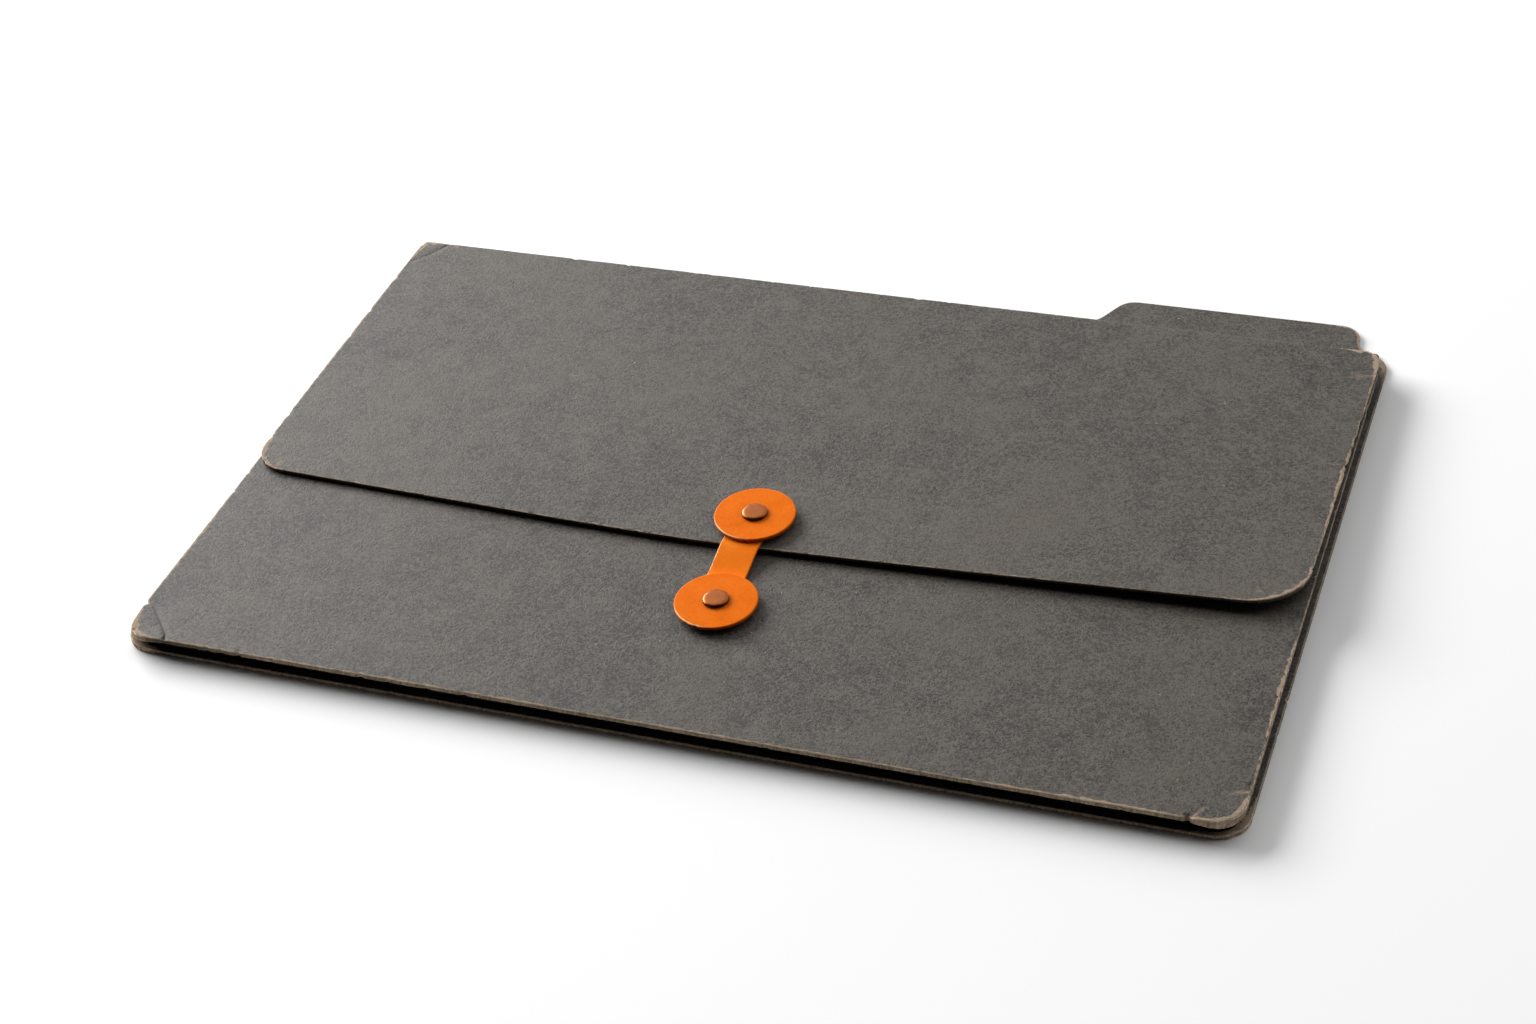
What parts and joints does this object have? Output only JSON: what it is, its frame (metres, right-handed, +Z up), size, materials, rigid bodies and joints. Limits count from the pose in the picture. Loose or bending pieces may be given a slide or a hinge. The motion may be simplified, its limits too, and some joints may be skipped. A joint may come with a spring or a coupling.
{
  "type": "button and tie folder",
  "caption": "Flat expanding document wallet of pressboard with pleated gussets, an index tab, and a flap held by a strap between riveted buttons.",
  "frame": {"origin": "on the table, in the middle of the footprint of the closed folder with its index tab", "axes": "+X to the right along the flap's free edge, +Y from the free edge to the spine and the index tab, +Z up from the back board to the buttons"},
  "size_m": [0.3774, 0.2646, 0.0134],
  "materials": {
    "grey_pressboard": "calendered pressboard, matt with a faint sheen, worn to tan fibre along its edges",
    "black_bookcloth": "matt woven bookcloth",
    "orange_vulcanised_fibre": "punched vulcanised fibre, satin, scuffed at the rims",
    "aged_copper_plate": "aged copper plate, dull",
    "black_kraft_paper": "uncoated kraft paper"
  },
  "bodies": {
    "back_panel": {"back_board": "grey_pressboard", "back_hinge_cloth": "black_bookcloth", "gusset_left": "black_bookcloth", "gusset_right": "black_bookcloth", "gusset_front": "black_bookcloth"},
    "spine": {"spine_strip": "grey_pressboard", "spine_hinge_cloth": "black_bookcloth"},
    "flap": {"flap_board": "grey_pressboard", "upper_patch": "black_kraft_paper", "upper_burr": "aged_copper_plate", "upper_rivet": "aged_copper_plate"},
    "front_panel": {"front_board": "grey_pressboard", "lower_patch": "black_kraft_paper", "lower_burr": "aged_copper_plate", "lower_rivet": "aged_copper_plate"},
    "strap": {"tie_strap": "orange_vulcanised_fibre"},
    "upper_button": {"upper_button": "orange_vulcanised_fibre"},
    "lower_button": {"lower_button": "orange_vulcanised_fibre"}
  },
  "joints": [
    {"name": "spine_fold", "type": "hinge", "parent": "back_panel", "child": "spine", "pos_m": [0, 0.10915, 0.0015], "axis": [-1, 0, 0], "range_deg": [0, 90]},
    {"name": "flap_fold", "type": "hinge", "parent": "spine", "child": "flap", "pos_m": [0, 0.10915, 0.00835], "axis": [-1, 0, 0], "range_deg": [0, 88]},
    {"name": "front_panel_opening", "type": "hinge", "parent": "back_panel", "child": "front_panel", "pos_m": [0, -0.13235, 0.00575], "axis": [1, 0, 0], "range_deg": [0, 3.52], "deforming": ["gusset_left", "gusset_right", "gusset_front"]},
    {"name": "strap_swivel", "type": "hinge", "parent": "front_panel", "child": "strap", "pos_m": [0.0033, -0.0742, 0.0074], "axis": [0, 0, 1], "range_deg": [0, 100]},
    {"name": "upper_button_turn", "type": "hinge", "parent": "flap", "child": "upper_button", "pos_m": [0.0016, -0.0312, 0.011], "axis": [0, 0, 1], "continuous": true},
    {"name": "lower_button_turn", "type": "hinge", "parent": "front_panel", "child": "lower_button", "pos_m": [0.0033, -0.0742, 0.009], "axis": [0, 0, 1], "continuous": true}
  ],
  "couplings": [
    {"joint": "front_panel_opening", "follows": "flap_fold", "ratio": 0.04}
  ]
}
